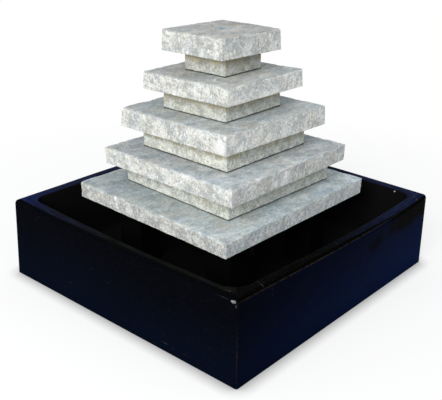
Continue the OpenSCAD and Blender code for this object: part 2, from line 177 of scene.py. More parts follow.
def shellMesh(name, rings, marks, closed, sharpAngle):
    count = len(rings[0])
    points = np.concatenate(rings)
    level = np.arange(len(rings) - (0 if closed else 1))[:, None]
    step = np.arange(count)[None, :]
    nextLevel = (level + 1) % len(rings)
    nextStep = (step + 1) % count
    faces = np.stack([level * count + step, level * count + nextStep,
                      nextLevel * count + nextStep, nextLevel * count + step], axis=-1)
    faces = [tuple(face) for face in faces.reshape(-1, 4).tolist()]
    if not closed:
        faces.append(tuple(range(count - 1, -1, -1)))
        last = (len(rings) - 1) * count
        faces.append(tuple(range(last, last + count)))
    mesh = bpy.data.meshes.new(name)
    mesh.from_pydata(points.tolist(), [], faces)
    for mark, values in marks.items():
        layer = mesh.attributes.new(mark, "FLOAT", "POINT")
        layer.data.foreach_set("value", np.concatenate(values).astype(np.float32))
    mesh.update()
    mesh.shade_smooth()
    mesh.set_sharp_from_angle(angle=math.radians(sharpAngle))
    return addObject(name, mesh)


# stones of the stack

slabStyle = {
    "step": 0.0018,   # length of a mesh face along the edge
    "corners": (0.0006, 0.0022),
    "proud": 0.0003,   # how far the face stands out where nothing is split off
    "broad": (0.0009, 0.065),   # depth and size of the swells on a split face
    "chips": (0.0009, 0.017),
    "crumbs": (0.0005, 0.0065),
    "grit": (0.0003, 0.0035),
    "arris": 0.0005,
    "spalls": (0.0040, 0.011, 0.0034, 0.036),
    "spallDrop": 1.5,   # height of a spall to its width
    "lowArris": 0.3,
    "sawn": 0.00025,
    "calmRight": 0.55,   # how much smoother the right-hand face is
}
spacerStyle = {
    "step": 0.0022,
    "corners": (0.0008, 0.003),
    "proud": 0.0002,
    "broad": (0.0009, 0.050),
    "chips": (0.0006, 0.016),
    "crumbs": (0.0005, 0.007),
    "grit": (0.0003, 0.0035),
    "arris": 0.0006,
    "spalls": (0.0018, 0.009, 0.0014, 0.03),
    "spallDrop": 1.2,
    "lowArris": 1.0,
    "sawn": 0.0002,
    "calmRight": 0.4,
}
stoneWear = {  # for slabs and spacers alike
    "nick": (0.25, 0.006),   # depth to that of the small spalls, and size
    "lowRelief": 0.4,   # relief of the lower arris to that of the face
    "straightBelow": 0.35,   # of the thickness: lower down the face is calmer
    "deepest": 0.45,   # of the thickness: a spall goes no further down
    "settle": 0.008,   # how far in from the edge its relief dies out on the sawn faces
    "toneWidth": 0.004,   # how far in, and at most how far down, the sawn and split tones blend
    "toneCalm": 0.002,   # how much less far down on the right
    "freshWidth": 0.006,
    "freshCalm": 0.85,
    "paleProud": 0.001,
    "waveSize": 0.03,
    "insets": (0.0012, 0.003, 0.0055, 0.009, 0.014, 0.021, 0.030, 0.042, 0.057, 0.075, 0.1, 0.13, 0.16),
    "boreMargin": 0.024,
    "arcSteps": 4,
    "sharpAngle": 34,
}
# side and shift in metres, turn in degrees; foot and head: how far the corners right, back, left and
# front stand out below and above, blunt: how far their upper arris is worn off, and lean: how far each
# is out of square in x and y, all in mm; tone: gain of the left and right faces, partly the stone's own
# shade and partly painted fill light that lightens the right faces; fresh: how pale the upper arris on the
# left is; pale: smooth pale chips, their place in the stone and radius in mm
stones = {
    "base_slab": {
        "side": 0.409, "shift": (0.002, -0.004), "turn": -1.6, "tone": (0.965, 1.17),
        "blunt": (0, 1, 0.4, 0.1), "fresh": 0.2, "foot": (-1.2, 0, -0.4, -4.0), "head": (0, -2, 0, 0),
        "lean": ((-5.4, 3.7), (0, 0), (0, 0), (2.8, -3.9)),
        "pale": [(-91, -206, 26, 5.5), (-88, -206, 17, 5), (-86, -206, 9, 4)]},
    "base_spacer": {
        "side": 0.288, "shift": (0.004, 0.009), "turn": -2.4, "tone": (0.98, 1.03),
        "lean": ((1, 0), (0, 0), (3, -3.5), (5, -6.5))},
    "fourth_slab": {
        "side": 0.342, "shift": (0.004, 0.002), "turn": -0.7, "tone": (1.03, 1.08),
        "blunt": (0.3, 1, 0.8, 0.6), "fresh": 0.5, "foot": (-1.5, 0, -1.0, 0), "head": (0, -2.5, 0, 0),
        "lean": ((3.4, -1.8), (0, 0), (2.5, -1.3), (4.5, -3)),
        "pale": [(173, -102, 31, 6), (175, -21, 10, 10), (175, -18, 18, 9), (175, -50, 10, 8),
                 (174, 150, 8, 2.5)]},
    "third_spacer": {
        "side": 0.228, "shift": (0.0, 0.002), "turn": -0.9, "tone": (1.08, 1.04),
        "lean": ((2, -1.5), (0, 0), (1, -1), (2, -2.5))},
    "third_slab": {
        "side": 0.282, "shift": (0.0, 0.002), "turn": -1.8, "tone": (1.02, 1.18),
        "blunt": (0.5, 1, 0.8, 0.8), "fresh": 0.25, "foot": (1.4, 0, 2.4, 0), "head": (0.3, -2.5, 0.3, 0),
        "lean": ((2.1, -1.8), (0, 0), (3.3, -5.4), (0, 0)),
        "pale": [(127, -141, 15, 14), (138, -141, 32, 4), (141, -109, 5, 4), (141, -87, 13, 4)]},
    "second_spacer": {
        "side": 0.162, "shift": (0.0, -0.003), "turn": 0.4, "tone": (0.93, 1.02),
        "lean": ((3.5, -3.5), (0, 0), (3.5, -3.8), (3.5, -3.5))},
    "second_slab": {
        "side": 0.216, "shift": (0.004, -0.004), "turn": -0.2, "tone": (1.015, 1.29),
        "blunt": (0.6, 1, 0.8, 1.0), "fresh": 0.1, "foot": (1.6, 0, 1.8, 0), "head": (0.5, -2.5, 0.4, 0),
        "lean": ((1.4, -0.8), (0, 0), (3.2, -3.5), (0, 0)),
        "pale": [(47, -75, 34, 3.5), (108, 99, 19, 3), (-103, -111, 6, 3)]},
    "top_spacer": {
        "side": 0.104, "shift": (-0.003, 0.004), "turn": 0.4, "tone": (0.83, 0.81),
        "lean": ((4, -5), (0, 0), (5, -6.5), (4, -6))},
    "top_slab": {
        "side": 0.158, "shift": (-0.002, -0.002), "turn": -2.4, "tone": (1.0, 1.11),
        "blunt": (0.4, 1, 0.3, 0.8), "fresh": 0.1, "foot": (2.6, 0, 1.7, 0), "head": (0.9, -2.5, 0.3, 0),
        "lean": ((0.3, -1.2), (1.9, 0.7), (2.4, -3.5), (0, 0)),
        "pale": [(79, 49, 29, 4), (79, 54, 22, 3.5), (79, 67, 13, 3.5), (79, -3, 16, 4)]},
}
boreRadius = 0.012
countersink = {"radius": 0.0148, "depth": 0.003}   # takes the outlet's flange


def splitDepth(points, style, seed):  # how far a split face lies back from the slab's side
    depth = style["broad"][0] * roughNoise(points, style["broad"][1], seed, 2) - style["proud"]
    depth += style["chips"][0] * (0.3 + facetNoise(points, style["chips"][1], seed + 1))
    depth += style["crumbs"][0] * facetNoise(points, style["crumbs"][1], seed + 2)
    depth += style["grit"][0] * roughNoise(points, style["grit"][1], seed + 3, 2)
    return depth


def paleChips(points, chips):
    mark = np.zeros(len(points))
    for x, y, z, radius in chips:
        offset = points - np.array([x, y, z]) / 1000
        offset *= (0.6, 1, 0.8) if abs(x) > abs(y) else (1, 0.6, 0.8)   # less strict across the face
        distance = np.linalg.norm(offset, axis=1) * 1000 / radius
        mark = np.maximum(mark, np.clip(2.4 - 2.4 * distance + 0.4 * softNoise(points, 0.004, 3), 0, 1))
    return mark


def buildStone(name, stone, style):
    wear = stoneWear
    low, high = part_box(name)
    thick = high.z - low.z
    half = stone["side"] / 2
    seed = 11 + list(stones).index(name)
    ring = squareRing(round(stone["side"] / style["step"]), 4)
    count = len(ring[0])
    least, most = style["corners"]
    rounding = np.array([latticeValue(np.array([[k % 4, 0, 0]]), seed + 50)[0] for k in range(5)])
    corner = np.interp(np.arange(count) / count * 4, np.arange(5), least + (most - least) * rounding ** 2)
    edge = planAt(ring, half, corner)
    rightward = np.clip(ring[1][:, 0], 0, 1)
    relief = 1 - style["calmRight"] * rightward
    # gain of the left and right faces: partly the stone's own shade, partly painted fill light on the right
    tone = stone["tone"][0] * (1 - rightward) + stone["tone"][1] * rightward
    foot, head, lean, blunt = (atCorners(ring, stone.get(key, (0, 0, 0, 0))) / 1000
                               for key in ("foot", "head", "lean", "blunt"))
    blunt = blunt * np.abs(ring[0]).min(axis=1) ** 4
    pale = stone.get("pale", [])

    def inSpace(plan, height):
        return np.column_stack([plan, np.broadcast_to(height, count)])

    def breakAt(height, seedShift):  # width to which the arris is broken, all round
        place = inSpace(edge, height)
        smallWidth, smallSize, largeWidth, largeSize = style["spalls"]
        small = np.clip(softNoise(place, smallSize, seed + seedShift), 0, 1)
        large = np.clip(softNoise(place, largeSize, seed + seedShift + 1) + 0.1, 0, 1)
        nickShare, nickSize = wear["nick"]
        nick = nickShare * smallWidth * facetNoise(place, nickSize, seed + seedShift + 2)
        width = smallWidth * small ** 1.3 + largeWidth * large + nick * (small + large)
        return style["arris"] + relief * np.maximum(width, 0)

    lowBreak = style["lowArris"] * breakAt(0.0, 60)
    highBreak = breakAt(thick, 70) + blunt
    highDrop = np.minimum(highBreak * style["spallDrop"], wear["deepest"] * thick)
    lowDepth = wear["lowRelief"] * relief * splitDepth(inSpace(edge, lowBreak), style, seed)
    highDepth = relief * splitDepth(inSpace(edge, thick - highDrop), style, seed)
    rings = []
    marks = {"split": [], "level": [], "pale": [], "fresh": [], "tone": [], "right": []}

    def keepRing(points, height, split, inset=0.0):
        rings.append(points)
        wornAndLit = wear["toneWidth"] - wear["toneCalm"] * rightward
        upper = np.clip(3.0 * height / thick - 2.0, 0, 1)
        upper = upper * np.clip(1.5 - inset / wear["freshWidth"], 0, 1)
        marks["split"].append(split * np.clip((thick - height) / wornAndLit, 0, 1))
        marks["level"].append(np.broadcast_to(height / thick, count))
        marks["pale"].append(paleChips(points, pale))
        marks["fresh"].append(stone.get("fresh", 0) * upper * (1 - wear["freshCalm"] * rightward))
        marks["tone"].append(tone)
        marks["right"].append(rightward)

    def planInset(inset, height):
        grow = foot + (head - foot) * height / thick
        fade = np.broadcast_to(1 - inset / half, count)[:, None]
        return planAt(ring, half - inset + grow, np.maximum(corner - inset, 0.0004)) + lean * fade

    def addRing(inset, height, split):
        keepRing(inSpace(planInset(inset, height), height), height, split, inset)

    def addBore(radius, height):
        place = ring[0]
        plan = radius * place / np.linalg.norm(place, axis=1)[:, None]
        keepRing(inSpace(plan, height), height, 0)

    insets = [inset for inset in wear["insets"] if inset < half - wear["boreMargin"]]
    addBore(boreRadius, 0.0)
    for inset in reversed(insets[2:]):
        addRing(lowBreak + inset + lowDepth * math.exp(-inset / wear["settle"]), 0.0, 0)
    for share, sine, cosine in quarterTurn(wear["arcSteps"]):
        addRing(lowBreak * (1 - sine) + lowDepth, lowBreak * (1 - cosine), share > 0)
    levels = round(thick / style["step"])
    for step in range(1, levels):
        height = lowBreak + (thick - lowBreak - highDrop) * step / levels
        calm = 0.4 + 0.6 * np.minimum(1, height / (wear["straightBelow"] * thick))
        depth = calm * relief * splitDepth(inSpace(edge, height), style, seed)
        smooth = paleChips(inSpace(edge, height), pale)
        addRing(depth * (1 - smooth) - wear["paleProud"] * smooth, height, 1)
    for share, sine, cosine in quarterTurn(wear["arcSteps"]):
        across = 0.5 * share + 0.5 * (1 - cosine)   # between a flat chamfer and a round
        upward = 0.5 * share + 0.5 * sine
        addRing(highBreak * across + highDepth, thick - highDrop * (1 - upward), 1)
    for inset in insets:
        reach = highBreak + inset + highDepth * math.exp(-inset / wear["settle"])
        wave = roughNoise(inSpace(planInset(reach, thick), thick), wear["waveSize"], seed + 80, 3)
        fade = min(1, inset / wear["toneWidth"])
        addRing(reach, thick - style["sawn"] * fade * (1 + wave), 1 - fade)
    upperBores = [(boreRadius, thick)]
    if name == "top_slab":
        floor = thick - countersink["depth"]
        upperBores = [(countersink["radius"], thick), (countersink["radius"], floor), (boreRadius, floor)]
    for radius, height in upperBores:
        addBore(radius, height)

    turn = math.radians(stone["turn"])
    c, s = math.cos(turn), math.sin(turn)
    spin = np.array([[c, s, 0], [-s, c, 0], [0, 0, 1]])
    shift = np.array([*stone["shift"], low.z])
    for level, points in enumerate(rings):
        if 0 < level < len(rings) - len(upperBores):
            rings[level] = points @ spin + shift
        else:
            rings[level] = points + (0, 0, low.z)   # the hole stays on the axis of the stack
    item = shellMesh(name + "_stone", rings, marks, True, wear["sharpAngle"])
    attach(item, "fountain")
    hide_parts(name)
    return item


slabItems = [buildStone(name, stone, slabStyle) for name, stone in stones.items() if "slab" in name]
spacerItems = [buildStone(name, stone, spacerStyle) for name, stone in stones.items() if "spacer" in name]
print("stones built:", sum(len(item.data.polygons) for item in slabItems + spacerItems), "faces")


# basin, cast by hand: its side walls bow outwards a little

basin = {
    "corner": 0.004,
    "innerCorners": (0.030, 0.042, 0.025, 0.033),   # corners right, back, left and front
    "walls": (0.0245, 0.026, 0.029, 0.0285),   # thickness at the same corners
    "floor": 0.024,
    "cove": 0.016,
    "roll": 0.010,
    "innerRoll": 0.004,
    "foot": 0.001,   # rounding of the lower edge
    "bows": (0.010, 0.005, 0.006, 0.008),   # sides right, back, left and front, at the rim
    "bowSkew": 0.6,   # the right side bows most beyond its middle
    "bowSpan": (0.75, 0.15),   # of half the side: only the walls bow, not the floor
    "wobble": 0.0007,
    "wobbleSizes": (0.09, 0.09, 0.12),
    "leanTop": ((0.004, -0.001), (-0.005, 0.0125), (-0.0102, 0.004), (0.0035, -0.0005)),
    "leanFoot": ((0.003, 0.0), (0.0, 0.001), (-0.002, -0.0097), (0.002, -0.0022)),
    "floorInsets": (0.07, 0.12, 0.18, 0.25),
    "sideSteps": 44,
    "cornerSteps": 12,
    "wallSteps": 14,
    "rimSteps": 6,
    "insideSteps": 10,
    "footSteps": 4,
    "arcSteps": 8,
    "sharpAngle": 50,
}


def buildBasin():
    low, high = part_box("basin")
    half = high.x
    tall = high.z
    ring = squareRing(basin["sideSteps"], basin["cornerSteps"])
    leanTop, leanFoot, wall, inner = (atCorners(ring, basin[key])
                                      for key in ("leanTop", "leanFoot", "walls", "innerCorners"))
    corner, floor, cove, foot = (basin[key] for key in ("corner", "floor", "cove", "foot"))
    roll, innerRoll = basin["roll"], basin["innerRoll"]
    rings = []
    marks = {"inside": [], "rim": [], "arris": []}

    def addRing(inset, corner, height, inside=0.0, arris=0.0):
        plan = planAt(ring, half - inset, corner) / half
        upward = min(1, height / tall)
        bowStart, bowWidth = basin["bowSpan"]
        near = np.clip((np.abs(plan) - bowStart) / bowWidth, 0, 1)
        near = near * np.clip(1 - plan[:, ::-1] ** 2, 0, 1) ** 1.2
        right, back, left, front = np.array(basin["bows"]) * upward ** 1.5
        right = right * (1 + basin["bowSkew"] * plan[:, 1])
        bow = np.column_stack([np.where(plan[:, 0] > 0, right, -left),
                               np.where(plan[:, 1] > 0, back, -front)])
        move = bow * near + leanTop * upward + leanFoot * (1 - upward)
        place = np.column_stack([half * plan + move, np.full(len(plan), height)])
        rim = np.clip(np.broadcast_to(inset / wall, len(plan)), 0, 1)
        gains = (1, 1, 0.6 * rim * (1 - inside))
        for axis, (gain, size) in enumerate(zip(gains, basin["wobbleSizes"])):
            place[:, axis] += basin["wobble"] * upward * gain * softNoise(place, size, 5 + axis)
        rings.append(place)
        marks["inside"].append(np.full(len(plan), inside))
        marks["rim"].append(rim)
        marks["arris"].append(np.full(len(plan), arris))

    for share, sine, cosine in quarterTurn(basin["footSteps"]):
        addRing(foot * (1 - sine), corner, foot * (1 - cosine))
    for step in range(1, basin["wallSteps"]):
        addRing(0, corner, foot + (tall - roll - foot) * step / basin["wallSteps"])
    for share, sine, cosine in quarterTurn(basin["arcSteps"]):
        inset = roll * (1 - cosine)
        addRing(inset, max(corner - inset, 0.0005), tall - roll * (1 - sine), arris=2 * sine * cosine)
    for step in range(1, basin["rimSteps"]):
        share = step / basin["rimSteps"]
        addRing(roll + (wall - innerRoll - roll) * share,
                0.0005 * (1 - share) + (inner + innerRoll) * share, tall)
    for share, sine, cosine in quarterTurn(basin["arcSteps"]):
        off = innerRoll * (1 - sine)
        addRing(wall - off, inner + off, tall - innerRoll * (1 - cosine), inside=share)
    for step in range(1, basin["insideSteps"]):
        height = (tall - innerRoll) + (floor + cove - tall + innerRoll) * step / basin["insideSteps"]
        addRing(wall, inner, height, inside=1.0)
    for share, sine, cosine in quarterTurn(basin["arcSteps"]):
        inset = cove * (1 - cosine)
        addRing(wall + inset, inner - inset, floor + cove * (1 - sine), inside=1.0)
    for reach in basin["floorInsets"]:
        addRing(reach, np.maximum(inner - reach, 0.01), floor, inside=1.0)
    item = shellMesh("basin_casting", rings, marks, False, basin["sharpAngle"])
    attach(item, "fountain")
    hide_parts("basin")
    return item


basinItem = buildBasin()
print("basin built:", len(basinItem.data.polygons), "faces")


# shader helpers and shared effects

def connect(value, socket):  # another socket, or a constant
    if isinstance(value, bpy.types.NodeSocket):
        socket.id_data.links.new(value, socket)
    else:
        socket.default_value = (*value, 1) if socket.type == "RGBA" else value


def addNode(kind, feeds, tree=None, **settings):  # feeds: sockets and constants for its inputs
    sockets = [value for value in feeds.values() if isinstance(value, bpy.types.NodeSocket)]
    tree = tree or sockets[0].id_data
    node = tree.nodes.new("ShaderNode" + kind)
    for key, value in settings.items():
        setattr(node, key, value)
    for key, value in feeds.items():
        connect(value, node.inputs[key])
    return node.outputs


def calculate(operation, first, second, clamp=False):
    return addNode("Math", {0: first, 1: second}, operation=operation, use_clamp=clamp)[0]


def product(*factors):
    total = factors[0]
    for factor in factors[1:]:
        total = calculate("MULTIPLY", total, factor)
    return total


def addShare(first, second, share, clamp=False):  # first plus a share of second
    return calculate("ADD", first, product(second, share), clamp)


def centred(source):  # noise, moved to lie round 0
    return calculate("SUBTRACT", source, 0.5)


def remap(source, fromLow, fromHigh, toLow=0.0, toHigh=1.0):
    return addNode("MapRange", {"Value": source, "From Min": fromLow, "From Max": fromHigh,
                                "To Min": toLow, "To Max": toHigh})["Result"]


def blendColor(share, first, second, mode="MIX"):
    return addNode("Mix", {0: share, 6: first, 7: second}, data_type="RGBA", blend_type=mode)[2]


def tinted(share, color, gain):
    return blendColor(share, color, blendColor(1.0, color, gain, "MULTIPLY"))


def layered(color, *layers):  # each layer is a mask and the colour it lays over those before
    for mask, tone in layers:
        color = blendColor(mask, color, tone)
    return color


def scaleColor(color, gain):
    return addNode("VectorMath", {0: color, "Scale": gain}, operation="SCALE")[0]


def noiseBy(coords, scale, detail, roughness):
    feeds = {"Vector": coords, "Scale": scale, "Detail": detail, "Roughness": roughness}
    return addNode("TexNoise", feeds)["Fac"]


def noiseAt(coords, size, detail, roughness=0.55):  # size in metres
    return noiseBy(coords, 1 / size, detail, roughness)


def patchesAt(coords, size, detail, begin, full, least=0.0, most=1.0, roughness=0.55):
    return remap(noiseAt(coords, size, detail, roughness), begin, full, least, most)


def pickCells(coords, size, channel, picked, reach, most):  # some of the cells, fading towards their edges
    cells = addNode("TexVoronoi", {"Vector": coords, "Scale": 1 / size})
    single = addNode("SeparateColor", {"Color": cells["Color"]})[channel]
    return product(remap(single, *picked), remap(cells["Distance"], *reach, 0.0, most))


def newGroup(name, inputs, outputs):
    group = bpy.data.node_groups.new(name, "ShaderNodeTree")
    for way, sockets in (("INPUT", inputs), ("OUTPUT", outputs)):
        for label, kind in sockets.items():
            group.interface.new_socket(label, in_out=way, socket_type="NodeSocket" + kind)
    start = group.nodes.new("NodeGroupInput")
    end = group.nodes.new("NodeGroupOutput")
    return group, start.outputs, end.inputs


mineralShares = {"patch": 2.4, "medium": 1.7, "fine": 2.1, "single": 0.5}
mineralHues = {"cool": (0.96, 1.0, 1.02), "warm": (1.025, 1.0, 0.93)}


def buildMineralGroup():  # tones of stone, in patches, in single crystals and in warm and cool areas
    group, given, result = newGroup(
        "mineralTones",
        {"Vector": "Vector", "Dark": "Color", "Mid": "Color", "Light": "Color",
         "Patch": "Float", "Crystal": "Float", "Contrast": "Float", "Warmth": "Float"},
        {"Color": "Color", "Height": "Float"})
    coords = given["Vector"]
    crystal = addNode("TexVoronoi", {"Vector": coords, "Scale": given["Crystal"]})
    mottling = {
        "patch": noiseBy(coords, given["Patch"], 4.0, 0.6),
        "medium": noiseBy(coords, product(given["Patch"], 2.9), 3.0, 0.6),
        "fine": noiseBy(coords, given["Crystal"], 3.0, 0.6),
        "single": addNode("SeparateColor", {"Color": crystal["Color"]})[0],
    }
    tone = 0.0
    for kind, share in mineralShares.items():
        tone = addShare(tone, centred(mottling[kind]), share)
    tone = calculate("ADD", product(tone, given["Contrast"]), 0.5, clamp=True)
    color = blendColor(remap(tone, 0.0, 0.5), given["Dark"], given["Mid"])
    color = blendColor(remap(tone, 0.5, 1.0), color, given["Light"])
    hue = noiseBy(coords, product(given["Patch"], 0.8), 2.0, 0.6)
    tint = blendColor(remap(hue, 0.36, 0.64), mineralHues["cool"], mineralHues["warm"])
    connect(tinted(given["Warmth"], color, tint), result["Color"])
    height = addShare(mottling["fine"], crystal["Distance"], 0.5)
    connect(calculate("ADD", height, mottling["medium"]), result["Height"])
    return group


def buildGrainGroup():  # fine even grain, for moulded and cast pieces
    group, given, result = newGroup(
        "fineGrain",
        {"Vector": "Vector", "Scale": "Float", "Color": "Color", "Variation": "Float",
         "Roughness": "Float"},
        {"Color": "Color", "Roughness": "Float", "Height": "Float"})
    grain = noiseBy(given["Vector"], given["Scale"], 2.0, 0.5)
    cloud = noiseBy(given["Vector"], 40.0, 4.0, 0.5)
    both = addShare(product(grain, 0.4), cloud, 0.6)
    swing = product(centred(both), given["Variation"])
    connect(scaleColor(given["Color"], addShare(1.0, swing, 4.0)), result["Color"])
    connect(calculate("ADD", given["Roughness"], swing), result["Roughness"])
    connect(grain, result["Height"])
    return group


mineralTones = buildMineralGroup()
fineGrain = buildGrainGroup()


def newMaterial(name, values):
    material = bpy.data.materials.new(name)
    material.use_nodes = True
    shader = material.node_tree.nodes["Principled BSDF"].inputs
    for key, value in values.items():
        connect(value, shader[key])
    return material, material.node_tree, shader


def objectCoords(tree):
    return addNode("TexCoord", {}, tree)["Object"]


def axesOf(coords):
    axes = addNode("SeparateXYZ", {"Vector": coords})
    return [axes[axis] for axis in "XYZ"]


def spread(coords, scale, turn=0.0):  # stretched and turned coordinates, for streaks
    turned = (0.0, 0.0, math.radians(turn))
    return addNode("Mapping", {"Vector": coords, "Scale": scale, "Rotation": turned})["Vector"]


def markAt(tree, name):
    return addNode("Attribute", {}, tree, attribute_name=name)["Fac"]


def addBump(shader, height, depth, strength=1.0):
    bump = addNode("Bump", {"Height": height, "Distance": depth, "Strength": strength})
    connect(bump["Normal"], shader["Normal"])


def placeMineral(coords, tones, kind, pattern):
    ownTones = {tone: tones[kind + tone] for tone in ("Dark", "Mid", "Light")}
    return addNode("Group", {"Vector": coords, **ownTones, **pattern}, node_tree=mineralTones)


# stone materials

slabTones = {
    "splitDark": (0.46, 0.475, 0.475),
    "splitMid": (0.65, 0.66, 0.645),
    "splitLight": (0.87, 0.87, 0.825),
    "fresh": (0.93, 0.92, 0.86),
    "sawnDark": (0.25, 0.295, 0.32),
    "sawnMid": (0.40, 0.44, 0.46),
    "sawnLight": (0.56, 0.60, 0.61),
    "tan": (0.42, 0.37, 0.30),
    "chalk": (0.96, 0.96, 0.94),
    "pit": (0.16, 0.17, 0.16),
    # the next tone darkens the lower arris of the split faces: painted shade
    "underShade": (0.20, 0.18, 0.13),
}
slabTints = {  # gains of red, green and blue
    # the first gain lightens the sawn tops towards the front: painted light
    "wornAndLit": (1.39, 1.39, 1.37),
    "upper": (1.05, 0.955, 0.90),
    "baseTop": (1.035, 1.065, 1.11),
    "baseFace": (0.985, 1.03, 1.07),
    "fourthTop": (1.06, 1.02, 1.025),
}
slabZones = {  # heights and places in metres between which a tint or a mark comes in
    "wornAndLit": (-0.04, 0.18, 0.0, 0.65),
    "upper": (0.28, 0.50),
    "gain": (0.20, 0.36, 0.975, 1.04),
    "baseTop": (0.22, 0.20),
    "baseBack": (-0.10, 0.08),
    "baseFace": (0.205, 0.195),
    "fourthBelow": (0.30, 0.29),
    "fourthAbove": (0.25, 0.26),
    "underShade": (0.26, 0.16, 0.0, 0.7),   # shares of the slab's thickness
    "split": (0.45, 0.75),   # shares of the mark that tells split from sawn
}
slabPattern = {
    "split": {"Patch": 44.0, "Crystal": 340.0, "Contrast": 1.25, "Warmth": 0.7},
    "sawn": {"Patch": 34.0, "Crystal": 360.0, "Contrast": 0.80, "Warmth": 0.9},
    "sawnStretch": (1.0, 0.7, 1.0),
    "streakStretch": (1.0, 0.12, 1.0),
    "sawnTurn": -42,   # degrees
    # noise: its size in metres, its detail, where a mark begins and is full, its least and greatest share
    "stains": (0.045, 4, 0.55, 0.70, 0.0, 0.40),
    "streaks": (0.006, 3, 0.58, 0.72, 0.0, 0.22),
    "crushed": (0.010, 4, 0.46, 0.60, 0.0, 0.80, 0.6),
    "chalky": (0.004, 3, 0.34, 0.54, 0.65, 1.0),
    "fleckStretch": (1.0, 1.0, 0.6),
    # cells: their size, the colour channel that picks some, reach from the edge inwards, greatest share
    "chalkFlecks": (0.0058, 0, (0.76, 0.84), (0.48, 0.22), 0.85),
    "pits": (0.0058, 1, (0.86, 0.92), (0.34, 0.12), 0.6),
    "rightCalm": 0.15,
    # size and detail of the noise that moves an edge, and how far it moves it
    "frontLightNoise": (0.05, 4),
    "frontLightRagged": 0.3,
    "frontLightSlant": -0.3,
    "underShadeNoise": (0.007, 4, 0.7),
    "underShadeRagged": 0.5,
    "edgeNoise": (0.006, 4),
    "edgeRagged": 1.8,
    "sawnRelief": 0.35,
    "pitRelief": -0.8,
    "bump": (0.0008, 0.8),   # depth in metres, and strength
}


def makeSlabMaterial():
    tones, tints, zones, pattern = slabTones, slabTints, slabZones, slabPattern
    material, tree, shader = newMaterial("splitStone", {"Roughness": 0.85, "Specular IOR Level": 0.2})
    coords = objectCoords(tree)
    x, y, z = axesOf(coords)

    # sawn faces: paler towards the front, which is painted light, a few tan stains, tints by height, and
    # thin pale streaks
    turn = pattern["sawnTurn"]
    sawn = placeMineral(spread(coords, pattern["sawnStretch"], turn), tones, "sawn", pattern["sawn"])
    cloud = centred(noiseAt(coords, *pattern["frontLightNoise"]))
    reach = addShare(addShare(x, y, pattern["frontLightSlant"]), cloud, pattern["frontLightRagged"])
    sawnColor = tinted(remap(reach, *zones["wornAndLit"]), sawn["Color"], tints["wornAndLit"])
    sawnColor = layered(sawnColor, (patchesAt(coords, *pattern["stains"]), tones["tan"]))
    shares = {
        "upper": remap(z, *zones["upper"]),
        "baseTop": product(remap(z, *zones["baseTop"]), remap(y, *zones["baseBack"])),
        "fourthTop": product(remap(z, *zones["fourthAbove"]), remap(z, *zones["fourthBelow"])),
    }
    for place, share in shares.items():
        sawnColor = tinted(share, sawnColor, tints[place])
    streaks = patchesAt(spread(coords, pattern["streakStretch"], turn), *pattern["streaks"])
    sawnColor = scaleColor(sawnColor, remap(z, *zones["gain"]))
    sawnColor = layered(sawnColor, (streaks, tones["splitLight"]))

    # split faces: chalky flecks, dark pits, and painted shade along the lower arris
    split = placeMineral(coords, tones, "split", pattern["split"])
    rightSide = markAt(tree, "right")
    flecks = spread(coords, pattern["fleckStretch"])
    pits = pickCells(flecks, *pattern["pits"])
    under = addShare(markAt(tree, "level"), noiseAt(coords, *pattern["underShadeNoise"]), pattern["underShadeRagged"])
    splitColor = layered(split["Color"], (product(rightSide, pattern["rightCalm"]), tones["splitMid"]),
                         (pickCells(flecks, *pattern["chalkFlecks"]), tones["chalk"]),
                         (pits, tones["pit"]), (remap(under, *zones["underShade"]), tones["underShade"]))
    splitColor = scaleColor(splitColor, markAt(tree, "tone"))
    splitColor = tinted(product(rightSide, remap(z, *zones["baseFace"])), splitColor, tints["baseFace"])

    # the two kinds of face meet along a ragged line, with crushed stone and pale chips on it
    wander = centred(noiseAt(coords, *pattern["edgeNoise"]))
    mask = remap(addShare(markAt(tree, "split"), wander, pattern["edgeRagged"]), *zones["split"])
    crushed = product(patchesAt(coords, *pattern["crushed"]), markAt(tree, "fresh"))
    chalky = product(markAt(tree, "pale"), patchesAt(coords, *pattern["chalky"]))
    color = layered(sawnColor, (mask, splitColor), (crushed, tones["fresh"]), (chalky, tones["chalk"]))
    connect(color, shader["Base Color"])
    height = blendColor(mask, product(sawn["Height"], pattern["sawnRelief"]), split["Height"])
    addBump(shader, addShare(height, pits, pattern["pitRelief"]), *pattern["bump"])
    return material


spacerTones = {
    "bodyDark": (0.43, 0.44, 0.395),
    "bodyMid": (0.64, 0.65, 0.605),
    "bodyLight": (0.85, 0.86, 0.80),
    "ochre": (0.56, 0.495, 0.31),
    # the next ochre is paler: painted light against the overhang's shadow
    "ochreLit": (0.70, 0.62, 0.42),   # on the left of the upper spacers
    # dark line at the spacer's foot: partly a joint, partly painted contact shade
    "joint": (0.05, 0.06, 0.055),
}
spacerPattern = {
    "body": {"Patch": 60.0, "Crystal": 400.0, "Contrast": 1.0, "Warmth": 0.5},
    "ripple": (0.014, 4, 0.65),   # size in metres, detail and roughness of the stain's ragged edge
    "stain": (0.50, 0.74),   # of the height between the slabs
    "stainRagged": 1.5,
    "stainShare": 0.85,
    "joint": (0.085, 0.045),
    "jointRagged": 0.1,
    "jointShare": 0.95,
    "upper": (0.36, 0.44),   # metres
    "bump": (0.0007, 0.8),
}


